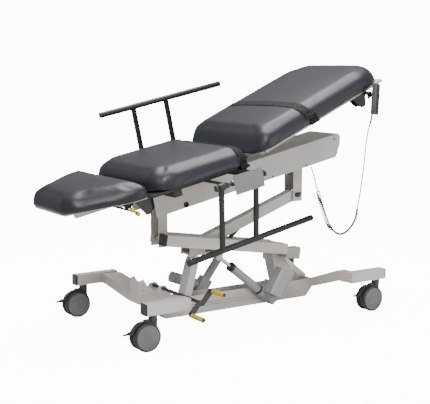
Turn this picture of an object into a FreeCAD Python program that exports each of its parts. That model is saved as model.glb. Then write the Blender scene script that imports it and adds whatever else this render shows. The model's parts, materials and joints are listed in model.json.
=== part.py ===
"""Powered examination couch on four twin-wheel casters.

Each piece is drawn from the middle of the four caster stems: +X towards the head end, +Y to the
far side, +Z up from the floor, millimetres. At the end the whole couch is moved so that the
origin is on the floor under the middle of its outline. The model is drawn in its display position: lifted,
table tilted head-up, backrest a little raised, near side rail hanging, far side rail raised.
"""
import FreeCAD, Part
import Sketcher
import math
import os
import re
from types import SimpleNamespace
from FreeCAD import Placement, Rotation, Vector

doc = FreeCAD.newDocument("ExaminationCouch")

# Driving dimensions in millimetres and degrees.
DIMENSIONS = {
    # base
    "stem_x": 633, "stem_y": 343, "stub_size": 50, "stub_length": 215, "stub_z": 155,
    "stub_wall": 3, "cap_thickness": 8, "spine_half": 45, "spine_wall": 3, "spine_bottom": 32,
    "spine_top": 122, "spine_head": 472, "spine_foot": 446, "ear_top": 236,
    "foot_bar_width": 95, "foot_bar_bottom": 152, "foot_bar_height": 46, "foot_bar_dip": 32, "head_bar_width": 50, "bar_wall": 4,
    "pedal_x": -410, "pedal_z": 180,
    # casters
    "wheel_radius": 62.5, "wheel_width": 23, "wheel_gap": 11, "caster_trail": 38,
    "hood_radius": 68, "hood_wall": 4, "stem_radius": 5.5, "axle_radius": 6,
    # running clearance of every shaft in its bore
    "running": 0.05,
    # lift legs, mirror images of each other
    "leg_pivot_foot": -278, "leg_pivot_head": 287, "leg_pivot_z": 75, "leg_length": 235,
    "leg_lean": 14.5, "foot_leg_half": 32, "head_leg_half": 37, "leg_wall": 4, "roller_radius": 13, "leg_pin_radius": 7,
    # middle frame
    "tube_x": -420, "tube_z": 412.5, "tube_slope": 9.04, "tube_length": 697, "tube_height": 53,
    "tube_near": -105, "tube_far": -40, "tube_wall": 3, "far_bar_y": 42, "far_bar_width": 12,
    "track_gap": 1, "track_thickness": 10,
    # tilting linkage
    "tilt_pin_radius": 8, "prop_half": 25, "prop_height": 54, "prop_wall": 4,
    "strut_reach": 286, "strut_radius": 10,
    # table frame box, tilted head-up
    "table_x": 36, "table_z": 693, "table_tilt": 12, "box_foot": -537, "box_head": 569, "box_half": 115,
    "box_height": 114, "box_wall": 4, "post_half": 38, "post_wall": 4,
    # upholstered sections
    "pad_half": 332, "deck_height": 97, "seat_foot": -632, "seat_head": -100, "seat_pad": 88,
    "foot_end": -1002, "foot_head": -646, "foot_pad": 70, "foot_end_half": 175,
    "back_hinge_x": -32, "back_hinge_z": 117, "back_slope": 24.5, "back_length": 813,
    "back_pad": 88, "pad_rise": 14, "board": 12,
    # side rails
    "rail_axle_y": 380, "rail_axle_z": 59, "rail_reach": 318, "rail_radius": 14,
    "rail_foot": -501, "rail_head": 202, "post_foot": -316, "post_head": -128, "rail_shift": 24,
    "rail_tuck": 15.4, "rail_post_radius": 13,
    # handset
    "handset_width": 54, "handset_depth": 26, "handset_height": 146,
}

sheet = doc.addObject("Spreadsheet::Sheet", "Dims")
for row, (alias, number) in enumerate(DIMENSIONS.items(), start=1):
    sheet.set(f"A{row}", alias)
    sheet.set(f"B{row}", str(number))
    sheet.setAlias(f"B{row}", alias)
doc.recompute()
D = SimpleNamespace(**{alias: float(sheet.get(alias)) for alias in DIMENSIONS})

X_AXIS, Y_AXIS, Z_AXIS = Vector(1, 0, 0), Vector(0, 1, 0), Vector(0, 0, 1)
NODES = []


# ---------------------------------------------------------------- helpers

def cell(expression):
    """An expression whose dimension names point at the sheet."""
    return re.sub(r"[a-z_]{3,}", lambda word: "Dims." + word.group()
                  if word.group() in DIMENSIONS else word.group(), str(expression))


def bind(item, **sizes):
    for name, expression in sizes.items():
        item.setExpression(name, cell(expression))
    return item


def node(item, label):
    """Name a finished sub-part."""
    item.Label = label
    NODES.append(item)
    return item


def spot(frame, x=0.0, y=0.0, z=0.0, axis=Z_AXIS, angle=0.0):
    return frame * Placement(Vector(x, y, z), Rotation(axis, angle))


def leaning(x, y, z, slope):
    """A frame at a point whose +X runs uphill at `slope` degrees."""
    return Placement(Vector(x, y, z), Rotation(Y_AXIS, -slope))


def block(frame, x, y, z, length, width, height):
    """A box with its low corner at (x, y, z) of the frame."""
    item = doc.addObject("Part::Box", "Block")
    bind(item, Length=length, Width=width, Height=height)
    item.Placement = spot(frame, x, y, z)
    return item


TURN = {"X": (Y_AXIS, 90), "Y": (X_AXIS, -90), "Z": (Z_AXIS, 0)}


def rod(frame, x, y, z, along, radius, length):
    """A cylinder that starts at (x, y, z) and runs along +X, +Y or +Z of the frame."""
    item = doc.addObject("Part::Cylinder", "Rod")
    bind(item, Radius=radius, Height=length)
    item.Placement = spot(frame, x, y, z, *TURN[along])
    return item


def fuse(*pieces):
    item = doc.addObject("Part::MultiFuse", "Fusion")
    item.Shapes = list(pieces)
    return item


def cut(base, *tools):
    item = doc.addObject("Part::Cut", "Cut")
    item.Base = base
    item.Tool = tools[0] if len(tools) == 1 else fuse(*tools)
    return item


def group(*pieces):
    item = doc.addObject("Part::Compound", "Group")
    item.Links = list(pieces)
    return item


def sleeve(frame, x, y, z, along, radius, bore, length):
    return cut(rod(frame, x, y, z, along, radius, length), rod(frame, x, y, z, along, bore, length))


def sketch(body, role, outline=None, circles=()):
    """A fully constrained sketch: a closed outline of points and round holes, from the origin."""
    plane = [item for item in body.Origin.OriginFeatures if item.Role == role][0]
    drawing = body.newObject("Sketcher::SketchObject", "Sketch")
    drawing.AttachmentSupport = (plane, "")
    drawing.MapMode = "FlatFace"

    def fix(kind, edge, end, expression):
        index = drawing.addConstraint(Sketcher.Constraint(kind, -1, 1, edge, end, 1.0))
        drawing.setExpression(f"Constraints[{index}]", cell(expression))

    count = len(outline or ())
    corners = [Vector(math.cos(2 * math.pi * k / count), math.sin(2 * math.pi * k / count))
               for k in range(count)]
    for k in range(count):
        drawing.addGeometry(Part.LineSegment(corners[k], corners[(k + 1) % count]))
    for k in range(count):
        drawing.addConstraint(Sketcher.Constraint("Coincident", k, 2, (k + 1) % count, 1))
        for kind, expression in zip(("DistanceX", "DistanceY"), outline[k]):
            fix(kind, k, 1, expression)
    for across, up, radius in circles:
        edge = drawing.addGeometry(Part.Circle(Vector(1, 1), Z_AXIS, 1))
        fix("DistanceX", edge, 3, across)
        fix("DistanceY", edge, 3, up)
        index = drawing.addConstraint(Sketcher.Constraint("Radius", edge, 1.0))
        drawing.setExpression(f"Constraints[{index}]", cell(radius))
    return drawing


def extrude(body, kind, drawing, length):
    """A pad or pocket, half to each side of the sketch plane."""
    feature = body.newObject(kind, kind.split("::")[1])
    feature.Profile = drawing
    feature.SideType = "Symmetric"
    bind(feature, Length=length)
    return feature


def prism(frame, role, outline, length, pockets=()):
    """A body padded from an outline; each pocket is (outline, circles, length)."""
    body = doc.addObject("PartDesign::Body", "Body")
    extrude(body, "PartDesign::Pad", sketch(body, role, outline), length)
    for shape, circles, depth in pockets:
        extrude(body, "PartDesign::Pocket", sketch(body, role, shape, circles), depth)
    body.Placement = frame
    return body


def soften(body, radius, wanted):
    """Fillet the body's edges that `wanted` picks."""
    doc.recompute()
    base = body.Tip
    names = [f"Edge{k}" for k, edge in enumerate(base.Shape.Edges, start=1) if wanted(edge)]
    feature = body.newObject("PartDesign::Fillet", "Fillet")
    feature.Base = (base, names)
    bind(feature, Radius=radius)
    return body


def runs_along(axis):
    """True for a straight edge parallel to the axis."""
    def wanted(edge):
        return edge.Curve.TypeId == "Part::GeomLine" and abs(edge.tangentAt(edge.FirstParameter) * axis) > 0.999
    return wanted


def lies_at(height):
    """True for an edge that lies in the level plane of the given height."""
    def wanted(edge):
        return abs(edge.BoundBox.ZMin - height) < 0.01 and abs(edge.BoundBox.ZMax - height) < 0.01
    return wanted


FLOOR = Placement()
TABLE = leaning(D.table_x, 0, D.table_z, D.table_tilt)
MIDDLE = leaning(D.tube_x, 0, D.tube_z, -D.tube_slope)
hinge = TABLE.multVec(Vector(D.back_hinge_x, 0, D.back_hinge_z))
BACK = leaning(hinge.x, 0, hinge.z, D.back_slope)

# Named places, (x, z) on the floor frame, the middle frame or the table frame.
CORNERS = {"foot_near": (-1, -1), "foot_far": (-1, 1), "head_near": (1, -1), "head_far": (1, 1)}
PEDAL_TOES = ((52, 48), (-53, -47))
BRAKE = (-74, 22)
NEAR_TAIL, NEAR_LANE = (188, 52), -72
NEAR_PIN = (308, -58.8)
FAR_TAIL, FAR_LANE = (-152, 86), 84
FAR_PIN_X = 469
TILT_PIN, PROP_PIN, PROP_END, STRUT_FOOT = (-403, 410), (-160, 372), (372, 560), (-40, 346)
FOOT_POST, HEAD_POST = (-427, -379, 374), (350, 406, 530)
SOCKET = (-378, -42)
BOX_SCREWS = ((528, 36), (528, -38), (-170, -48), (120, -48), (330, -48))
FOOT_HINGE = (-640, 84)
LATCH, LATCH_Y = (-752, 66), -164
RAM_Z, LEVER_LEAN = 28, 28.7
HANDSET = Placement(Vector(586, -364, 1042), Rotation(Z_AXIS, 30)) * Placement(Vector(), Rotation(Y_AXIS, 8))
CORD_PATH = ((566, -362, 968), (545, -350, 760), (515, -335, 521), (410, -330, 398), (315, -325, 490),
             (290, -300, 593), (330, -220, 690), (400, -125, 712))


# ---------------------------------------------------------------- base

def base_spine():
    """Low trough between the crossbars; its foot end rises into two ears for the pedal shaft."""
    outline = [("-spine_foot", 100), ("-spine_foot", 172), (-430, 194), (-396, 194), (-352, 128),
               (-330, "spine_top"), ("spine_head", "spine_top"), ("spine_head", 74), (433, "spine_bottom"),
               (-398, "spine_bottom")]
    inside = [("-spine_foot + 4", 102), ("-spine_foot + 4", 230), ("spine_head - 4", 230),
              ("spine_head - 4", 77), (430, "spine_bottom + 4"), (-395, "spine_bottom + 4")]
    bores = [("leg_pivot_foot", "leg_pivot_z", "leg_pin_radius"),
             ("leg_pivot_head", "leg_pivot_z", "leg_pin_radius"),
             ("pedal_x", "pedal_z", "8 + running")]
    body = prism(FLOOR, "XZ_Plane", outline, "2 * spine_half",
                 [(inside, (), "2 * (spine_half - spine_wall)"), (None, bores, "2 * spine_half")])
    return node(body, "base_spine")


def foot_crossbar():
    """Folded channel, open below, that dips to the spine and carries an upright guard, open at the back."""
    low, high, dip, wall = D.foot_bar_bottom, D.foot_bar_bottom + D.foot_bar_height, D.foot_bar_dip, D.bar_wall
    outline = [(-318, low), (-318, high), (-290, high), (-45, high - dip), (45, high - dip), (290, high),
               (318, high), (318, low), (290, low), (45, low - dip), (-45, low - dip), (-290, low)]
    inside = [(-314, 100), (-314, high - wall), (-289, high - wall), (-44, high - dip - wall),
              (44, high - dip - wall), (289, high - wall), (314, high - wall), (314, 100)]
    frame = spot(FLOOR, -D.spine_foot - D.foot_bar_width / 2)
    channel = prism(frame, "YZ_Plane", outline, "foot_bar_width",
                    [(inside, (), "foot_bar_width - 2 * bar_wall")])
    base, foot = high - dip - wall / 2, -D.spine_foot - 90
    guard = prism(FLOOR, "XZ_Plane",
                  [(foot, base), (foot, "ear_top - 8"), (-512, "ear_top"), (-494, 205), (-462, 176),
                   ("-spine_foot", 168), ("-spine_foot", base)], "2 * spine_half",
                  [([(foot + 3, base - 1), (foot + 3, 260), (-440, 260), (-440, base - 1)], (),
                    "2 * (spine_half - spine_wall)")])
    return node(fuse(channel, guard), "foot_crossbar")


def head_crossbar():
    """Two drooping arms, one each side of the spine."""
    arms = []
    for side in (-1, 1):
        outline = [(side * y, z) for y, z in
                   ((318, 153), (318, 203), (262, 203), (45, 124), (45, 78), (270, 153))]
        inside = [(side * y, z) for y, z in ((314, 60), (314, 199), (263, 199), (49, 121), (49, 60))]
        arms.append(prism(spot(FLOOR, 477), "YZ_Plane", outline, "head_bar_width",
                          [(inside, (), "head_bar_width - 2 * bar_wall")]))
    return node(group(*arms), "head_crossbar")


def stub_middle(side_x):
    """Middle of a stub tube along X."""
    return side_x * (D.stem_x - 68.5)


def stub_tubes():
    """Square tubes over the casters, closed at the inner end, each with a block that holds the caster stem."""
    wall = D.stub_wall
    tubes = []
    for side_x, side_y in CORNERS.values():
        x = stub_middle(side_x) - D.stub_length / 2
        y = side_y * D.stem_y - D.stub_size / 2
        open_from = x + wall if side_x > 0 else x - 1
        shell = cut(block(FLOOR, x, y, D.stub_z, "stub_length", "stub_size", "stub_size"),
                    block(FLOOR, open_from, y + wall, D.stub_z + wall, "stub_length + 1 - stub_wall",
                          "stub_size - 2 * stub_wall", "stub_size - 2 * stub_wall"))
        socket = block(FLOOR, side_x * D.stem_x - 15, y + wall, D.stub_z + wall, 30,
                       "stub_size - 2 * stub_wall", "stub_size - 2 * stub_wall")
        bore = rod(FLOOR, side_x * D.stem_x, side_y * D.stem_y, D.stub_z - 1, "Z", "stem_radius + running", 47)
        tubes.append(cut(fuse(shell, socket), bore))
    return node(group(*tubes), "stub_tubes")


def stub_caps():
    """Plugs in the outer ends of the stub tubes."""
    caps = []
    for side_x, side_y in CORNERS.values():
        middle = stub_middle(side_x) + side_x * (D.stub_length + D.cap_thickness) / 2
        caps.append(block(FLOOR, middle - D.cap_thickness / 2, side_y * D.stem_y - D.stub_size / 2 + 0.5,
                          D.stub_z + 0.5, "cap_thickness", "stub_size - 1", "stub_size - 1"))
    return node(group(*caps), "stub_caps")


def base_pins():
    """Leg hinge pins through the trough and the pins that carry the two lift actuators."""
    half = D.spine_half
    pins = [rod(FLOOR, x, -half, D.leg_pivot_z, "Y", "leg_pin_radius - 0.02", "2 * spine_half")
            for x in (D.leg_pivot_foot, D.leg_pivot_head)]
    pins.append(rod(FLOOR, NEAR_TAIL[0], NEAR_LANE - 20, NEAR_TAIL[1], "Y", 6, -half - NEAR_LANE + 20))
    pins.append(rod(FLOOR, FAR_TAIL[0], half, FAR_TAIL[1], "Y", 6, FAR_LANE + 20 - half))
    pins += [rod(FLOOR, -518, -half - 3, z, "Y", 5, 3) for z in (186, 208)]
    return node(group(*pins), "base_pins")


def brake_pedal():
    """Rocker on a cross shaft; a yellow sleeve covers the toe pin at each end."""
    hub = spot(FLOOR, D.pedal_x, 0, D.pedal_z)
    rocker = prism(spot(hub, 0, -376, 0), "XZ_Plane",
                   [(-62, -54), (-44, -58), (-8, -14), (14, -10), (60, 38), (58, 56), (42, 58), (6, 14),
                    (-16, 8), (-62, -38)], 8)
    pins = [rod(hub, x, -480, z, "Y", 7, 104) for x, z in PEDAL_TOES]
    node(fuse(rod(hub, 0, -376, 0, "Y", 8, 436), rocker, *pins), "pedal_rocker")
    grips = [sleeve(hub, x, -478, z, "Y", 11, 7.02, 90) for x, z in PEDAL_TOES]
    return node(group(*grips), "pedal_grips")


# ---------------------------------------------------------------- casters

def caster(name, x, y):
    """Twin-wheel caster: swivel housing with stem, wheel set, and a brake lever at the back."""
    stem = spot(FLOOR, x, y, 0)
    axle = spot(stem, -D.caster_trail, 0, D.wheel_radius)
    half = D.wheel_gap - 0.5
    hood = cut(rod(axle, 0, -half, 0, "Y", "hood_radius", 2 * half),
               rod(axle, 0, -half - 1, 0, "Y", "hood_radius - hood_wall", 2 * half + 2),
               block(axle, -90, -half - 1, -90, 180, 2 * half + 2, 110))
    web = rod(axle, 0, -8, 0, "Y", 56, 16)
    bridge = block(stem, -44, -8, 90, 62, 16, 46)
    collar = rod(stem, 0, 0, 128, "Z", 20, "stub_z - 129")
    pivot = rod(stem, 0, 0, 110, "Z", "stem_radius", 88)
    lugs = [block(axle, BRAKE[0] - 6, low, BRAKE[1] - 5, 17, 3, 12) for low in (-10, 7)]
    bores = [rod(axle, 0, -9, 0, "Y", "axle_radius + running", 18),
             rod(axle, BRAKE[0], -21, BRAKE[1], "Y", 2.05, 42)]
    node(cut(fuse(hood, web, bridge, collar, pivot, *lugs), *bores), f"caster_{name}_housing")

    wheels = [rod(axle, 0, -33, 0, "Y", "axle_radius", 66)]
    for low in (D.wheel_gap, -D.wheel_gap - D.wheel_width):
        wheels.append(rod(axle, 0, low, 0, "Y", "wheel_radius - 16", "wheel_width"))
        wheels.append(rod(axle, 0, low + 1, 0, "Y", "wheel_radius - 2", "wheel_width - 2"))
        wheels.append(rod(axle, 0, low + 4, 0, "Y", "wheel_radius", "wheel_width - 8"))
    node(fuse(*wheels), f"caster_{name}_wheels")

    tab = prism(spot(axle, BRAKE[0], 0, BRAKE[1]), "XZ_Plane",
                [(-4, -4), (4, -4), (4, 4), (-4, 4), (-30, 2), (-30, -4)], 12)
    node(fuse(tab, rod(axle, BRAKE[0], -9.5, BRAKE[1], "Y", 2, 19)), f"caster_{name}_brake")


# ---------------------------------------------------------------- lift legs

def lift_leg(name, pivot_x, lean, back, front, flare, half):
    """Leg folded from sheet, open at the foot, from a base pin up to a roller.

    `back` and `front` are how far its edges stand from the pins, and `flare` holds the corners of
    the wing on its front edge.
    """
    frame = spot(FLOOR, pivot_x, 0, D.leg_pivot_z, Y_AXIS, lean)
    tip, wall, heel = D.leg_length, D.leg_wall, 0.9 * front
    outline = [(-back, -8), (-back / 2, -heel), (front / 2, -heel), (front, -8), *flare,
               (front, tip - 34), (9, tip + 8), (-9, tip + 8), (-back, tip - 34)]
    slot = [(-back - 1, tip - 30), (-back - 1, tip + 20), (front + 1, tip + 20), (front + 1, tip - 30)]
    core = [(-back + wall, -heel - 5), (-back + wall, tip - 34), (front - wall, tip - 34),
            *[(x - wall, z) for x, z in reversed(flare)], (front - wall, -6), (front - wall, -heel - 5)]
    bores = [(0, 0, "leg_pin_radius + running"), (0, "leg_length", "6 + running")]
    body = prism(frame, "XZ_Plane", outline, 2 * half,
                 [(slot, (), 2 * (half - wall)), (core, (), 2 * (half - wall)), (None, bores, 2 * half)])
    node(body, name)
    return frame


def lift_legs():
    """Leaning legs; the head one has a wing towards the control box."""
    foot = lift_leg("foot_leg", D.leg_pivot_foot, D.leg_lean, 19, 19, [], D.foot_leg_half)
    head = lift_leg("head_leg", D.leg_pivot_head, -D.leg_lean, 17, 35, [(95, 60), (60, 150)], D.head_leg_half)
    for name, frame, half in (("foot_leg_roller", foot, D.foot_leg_half),
                              ("head_leg_roller", head, D.head_leg_half)):
        wide = half - D.leg_wall - 0.5
        node(fuse(rod(frame, 0, -wide, D.leg_length, "Y", "roller_radius", 2 * wide),
                  rod(frame, 0, -half, D.leg_length, "Y", 6, 2 * half)), name)


def leg_top(pivot_x, toward):
    lean = math.radians(D.leg_lean)
    return pivot_x + toward * D.leg_length * math.sin(lean), D.leg_pivot_z + D.leg_length * math.cos(lean)


# ---------------------------------------------------------------- lift actuators

def actuator(side, tail, lane, target, tube_end, rod_start, eye, housing):
    """Linear actuator: housing on a base pin, tube and sliding rod."""
    run = math.hypot(target.x - tail[0], target.z - tail[1])
    slope = math.degrees(math.atan2(target.z - tail[1], target.x - tail[0]))
    frame = leaning(tail[0], lane, tail[1], slope)
    tube = rod(frame, 20, 0, 0, "X", 21, tube_end - 20)
    bores = [rod(frame, 8, 0, 0, "X", 10.05, tube_end), rod(frame, 0, -23, 0, "Y", 6.05, 46)]
    node(cut(fuse(tube, *housing(frame)), *bores), f"{side}_actuator")

    outer, hole = eye
    shaft = rod(frame, rod_start, 0, 0, "X", 10, run - rod_start - hole - 2)
    ring = rod(frame, run, -8, 0, "Y", outer, 16)
    node(cut(fuse(shaft, ring), rod(frame, run, -9, 0, "Y", hole, 18)), f"{side}_actuator_rod")


def near_housing(frame):
    """Gearbox across the base pin, with a bevelled motor housing beside it."""
    tail = Placement(frame.Base, Rotation())
    gearbox = block(spot(tail, -14.5, 0, 43, Y_AXIS, 56), -51, -38, -33.5, 102, 60, 67)
    motor = prism(spot(spot(tail, -26, -70.5, 64, Y_AXIS, -59), 42.5), "YZ_Plane",
                  [(-33, -28), (-24, -38), (24, -38), (33, -28), (33, 28), (24, 38), (-24, 38), (-33, 28)], 135)
    collar = rod(frame, 60, 0, 0, "X", 25, 30)
    return [gearbox, motor, collar]


def far_housing(frame):
    """Gearbox round the foot of the tube, with the motor reaching out to the foot end."""
    gearbox = block(frame, -20, -22, -30, 120, 44, 60)
    can = rod(spot(Placement(frame.Base, Rotation()), 32, 12, 44, Y_AXIS, -158.5), 0, 0, 0, "X", 27, 175)
    return [gearbox, can]


def lift_actuators():
    near_pin = MIDDLE.multVec(Vector(NEAR_PIN[0], 0, NEAR_PIN[1]))
    far_pin = MIDDLE.multVec(Vector(FAR_PIN_X, 0, 0))
    actuator("near", NEAR_TAIL, NEAR_LANE, near_pin, 312, 172, (20, 15.5), near_housing)
    actuator("far", FAR_TAIL, FAR_LANE, far_pin, 230, 118, (22, 17), far_housing)


# ---------------------------------------------------------------- middle frame

def middle_frame():
    """Sloping tube and far bar joined by a level track that rests on the leg rollers."""
    half = D.tube_height / 2
    wide = D.tube_far - D.tube_near
    wall = D.tube_wall
    tube = cut(block(MIDDLE, 0, D.tube_near, -half, "tube_length", wide, "tube_height"),
               block(MIDDLE, -1, D.tube_near + wall, -half + wall, "tube_length + 2", wide - 2 * wall,
                     "tube_height - 2 * tube_wall"))
    far_bar = block(MIDDLE, 0, D.far_bar_y, -half, "tube_length", "far_bar_width", "tube_height")
    pin_x, pin_z = NEAR_PIN
    ears = [block(MIDDLE, pin_x - 16, NEAR_LANE + y, pin_z - 18, 32, 8, -half - pin_z + 18) for y in (-20, 12)]
    node(group(fuse(tube, *ears), far_bar), "middle_tubes")
    node(block(MIDDLE, -6, D.tube_near, -half, 6, wide, "tube_height"), "middle_tube_cap")

    low = leg_top(D.leg_pivot_foot, 1)[1] + D.roller_radius + D.track_gap
    lane = D.far_bar_y - D.tube_far
    bar = block(FLOOR, -262, D.tube_far, low, 530, lane, "track_thickness")
    cheeks = [block(FLOOR, -262, y, low - 4, 88, 4, 70) for y in (D.tube_far, D.far_bar_y - 4)]
    ears = [block(FLOOR, STRUT_FOOT[0] - 9, y, low + 5, 18, 4, 32) for y in (-14, 10)]
    strut_pin = rod(FLOOR, STRUT_FOOT[0], -14, STRUT_FOOT[1], "Y", 4, 28)
    node(fuse(bar, *cheeks, *ears, strut_pin), "leg_track")
    node(group(rod(FLOOR, TILT_PIN[0], D.tube_far, TILT_PIN[1], "Y", "tilt_pin_radius", lane),
               rod(FLOOR, PROP_PIN[0], D.tube_far, PROP_PIN[1], "Y", 7, lane),
               rod(MIDDLE, FAR_PIN_X, D.far_bar_y + D.far_bar_width, 0, "Y", 6, 52),
               rod(MIDDLE, pin_x, NEAR_LANE - 12, pin_z, "Y", 6, 24)), "middle_pins")


def control_box():
    """Electronics housing with cooling ribs on the head end of the sloping tube."""
    core = block(MIDDLE, D.tube_length, D.tube_near + 2, -44, 84, 58, 50)
    ribs = [block(MIDDLE, D.tube_length + 6 + 10 * k, D.tube_near - 1, -46, 4, 64, 54) for k in range(8)]
    node(fuse(core, *ribs), "control_box")


# ---------------------------------------------------------------- tilting linkage

def prop_arm():
    """Inverted channel from the middle frame up to the head-end post."""
    dx, dz = PROP_END[0] - PROP_PIN[0], PROP_END[1] - PROP_PIN[1]
    reach = math.hypot(dx, dz)
    frame = leaning(PROP_PIN[0], 0, PROP_PIN[1], math.degrees(math.atan2(dz, dx)))
    half = D.prop_height / 2
    outline = [(-22, -16), (-22, 16), (-12, half), (reach - 12, half), (reach + 8, 8), (reach + 8, -8),
               (reach - 12, -half), (-12, -half)]
    hollow = [(-40, -half - 1), (-40, half - D.prop_wall), (reach - 26, half - D.prop_wall),
              (reach - 26, -half - 1)]
    bores = [(0, 0, "7 + running"), ("strut_reach", 0, 8), (reach, 0, "5 + running")]
    node(prism(frame, "XZ_Plane", outline, "2 * prop_half",
               [(hollow, (), "2 * (prop_half - prop_wall)"), (None, bores, "2 * prop_half")]), "prop_arm")
    half = D.post_half
    node(fuse(rod(frame, reach, -half - 4, 0, "Y", 5, 2 * half + 8),
              rod(frame, reach, -half - 12, 0, "Y", 12, 10),
              rod(frame, reach, half + 2, 0, "Y", 12, 6)), "prop_knob")
    return frame.multVec(Vector(D.strut_reach, 0, 0))


def tilt_strut(top):
    """Sprung strut between the middle frame and the prop arm."""
    dx, dz = top.x - STRUT_FOOT[0], top.z - STRUT_FOOT[1]
    run = math.hypot(dx, dz)
    frame = leaning(STRUT_FOOT[0], 0, STRUT_FOOT[1], math.degrees(math.atan2(dz, dx)))
    barrel = fuse(rod(frame, 0, -7, 0, "Y", 9, 14), rod(frame, 5, 0, 0, "X", "strut_radius", 115))
    node(cut(barrel, rod(frame, 0, -8, 0, "Y", 4.05, 16), rod(frame, 20, 0, 0, "X", 5.05, 110)), "tilt_strut")
    node(fuse(rod(frame, 60, 0, 0, "X", 5, run - 60), rod(frame, run, -8, 0, "Y", 9, 16),
              rod(frame, run, -27, 0, "Y", 4, 54)), "tilt_strut_rod")


# ---------------------------------------------------------------- table

def frame_box():
    """Folded sheet box, open below and at the foot end, with a slot for the backrest lever."""
    deep, wall = D.box_height / 2, D.box_wall
    outline = [("box_foot", -deep), ("box_foot", deep), ("box_head - 12", deep), ("box_head", deep - 16),
               ("box_head - 10", 0), ("box_head - 46", -deep)]
    inside = [("box_foot - 1", -deep - 3), ("box_foot - 1", deep - wall), (D.box_head - 14, deep - wall),
              (D.box_head - 4, deep - 17), (D.box_head - 14, 0), (D.box_head - 51, -deep - 3)]
    slot = [(-100, deep - wall - 1), (-100, deep + 1), (40, deep + 1), (40, deep - wall - 1)]
    body = prism(TABLE, "XZ_Plane", outline, "2 * box_half",
                 [(inside, (), "2 * (box_half - box_wall)"), (slot, (), 48),
                  (None, [(*SOCKET, 13)], "2 * box_half")])
    return node(body, "frame_box")


def frame_fittings():
    """Accessory sockets in the sides of the box, its screws, and the edging under the posts."""
    parts = [post_lip(*FOOT_POST), post_lip(*HEAD_POST)]
    for side, low, face in ((-1, -D.box_half - 3, -D.box_half - 2), (1, D.box_half - 23, D.box_half)):
        parts.append(sleeve(TABLE, SOCKET[0], low, SOCKET[1], "Y", 12.98, 8, 26))
        parts += [rod(TABLE, x, face, z, "Y", 4, 2) for x, z in BOX_SCREWS]
    return node(group(*parts), "frame_fittings")


def post(left, right, bottom, cuts):
    """Upright channel, open towards the foot end, whose top meets the underside of the box's lid."""
    lid, slope = D.box_height / 2 - D.box_wall, math.radians(D.table_tilt)
    tops = [D.table_z + lid / math.cos(slope) + (x - D.table_x) * math.tan(slope) for x in (left, right)]
    outline = [(left, bottom), (left, tops[0]), (right, tops[1]), (right, bottom)]
    inside = [(left - 1, bottom - 1), (left - 1, 900), (right - 3, 900), (right - 3, bottom - 1)]
    return prism(FLOOR, "XZ_Plane", outline, "2 * post_half",
                 [(inside, (), "2 * (post_half - post_wall)"), cuts])


def post_lip(left, right, bottom):
    """Black edging under the open lower end of a post."""
    half, wall = D.post_half, D.post_wall
    return cut(block(FLOOR, left, -half, bottom - 3, right - left, 2 * half, 3),
               block(FLOOR, left - 1, -half + wall, bottom - 4, right - left - 2, 2 * (half - wall), 5))


def frame_posts():
    """Two posts: the foot one hangs on the tilt pin, the head one is slotted for the prop arm."""
    x, z = PROP_END
    slot = [(x - 11, z - 9), (x - 11, z + 9), (x + 27, z + 14), (x + 27, z - 9)]
    tilt_bore = (*TILT_PIN, "tilt_pin_radius + running")
    return node(group(post(*FOOT_POST, (None, [tilt_bore], "2 * post_half")),
                      post(*HEAD_POST, (slot, (), "2 * post_half"))), "frame_posts")


def seat_deck():
    """Board and cross rails under the seat, with the ears of the backrest hinge."""
    top, lid = D.deck_height, D.box_height / 2
    deck = [block(TABLE, -628, -300, top - D.board, 508, 600, "board")]
    deck += [block(TABLE, x, -300, lid, 40, 600, top - D.board - lid) for x in (-530, -180)]
    ears = []
    for ear_y, pin_y in ((-83, -104), (83, 80)):
        ear = prism(spot(TABLE, 0, ear_y, 0), "XZ_Plane",
                    [(-62, lid), (-42, 124), (-37, 128), (-27, 128), (-22, 124), (-2, lid)], 6)
        ears.append(fuse(ear, rod(TABLE, D.back_hinge_x, pin_y, D.back_hinge_z, "Y", 6, 24)))
    return node(group(fuse(*deck), *ears), "seat_deck")


def foot_bracket():
    """Two plates that carry the foot section's hinge pin out from the box."""
    x, z = FOOT_HINGE
    outline = [(x - 10, z - 8), (x - 10, z + 7), (x + 9, z + 7), (x + 11, 85), (-541, 85), (-541, 52.5),
               (-500, 52.5), (-500, 20), (-556, -34), (-576, -34)]
    plates = [prism(spot(TABLE, 0, y, 0), "XZ_Plane", outline, 8) for y in (-96, 96)]
    return node(fuse(*plates, rod(TABLE, x, -106, z, "Y", 5, 212)), "foot_bracket")


def back_ram():
    """Ram inside the box; its cross pin pushes the backrest lever."""
    raised = D.back_slope - D.table_tilt
    pin_x = D.back_hinge_x - (D.back_hinge_z - RAM_Z) * math.tan(math.radians(LEVER_LEAN - raised))
    lid = D.box_height / 2 - D.box_wall
    body = fuse(rod(TABLE, -396, 0, RAM_Z, "X", 22, 190), block(TABLE, -396, -20, RAM_Z, 60, 40, lid - RAM_Z))
    node(cut(body, rod(TABLE, -380, 0, RAM_Z, "X", 8.05, 200)), "back_ram")
    node(fuse(rod(TABLE, -312, 0, RAM_Z, "X", 8, pin_x + 312), rod(TABLE, pin_x, -17, RAM_Z, "Y", 5, 34)),
         "back_ram_rod")


# ---------------------------------------------------------------- upholstered sections

def cushion(frame, outline, thickness, corner, rounded, crown):
    """Cushion drawn in plan; the upright edges picked by `rounded` and its upper edge are rounded."""
    body = doc.addObject("PartDesign::Body", "Body")
    pad = body.newObject("PartDesign::Pad", "Pad")
    pad.Profile = sketch(body, "XY_Plane", outline)
    bind(pad, Length=thickness)
    soften(body, corner, lambda edge: runs_along(Z_AXIS)(edge) and rounded(edge))
    soften(body, crown, lies_at(getattr(D, thickness)))
    body.Placement = spot(frame, 0, 0, D.deck_height)
    return body


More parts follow.
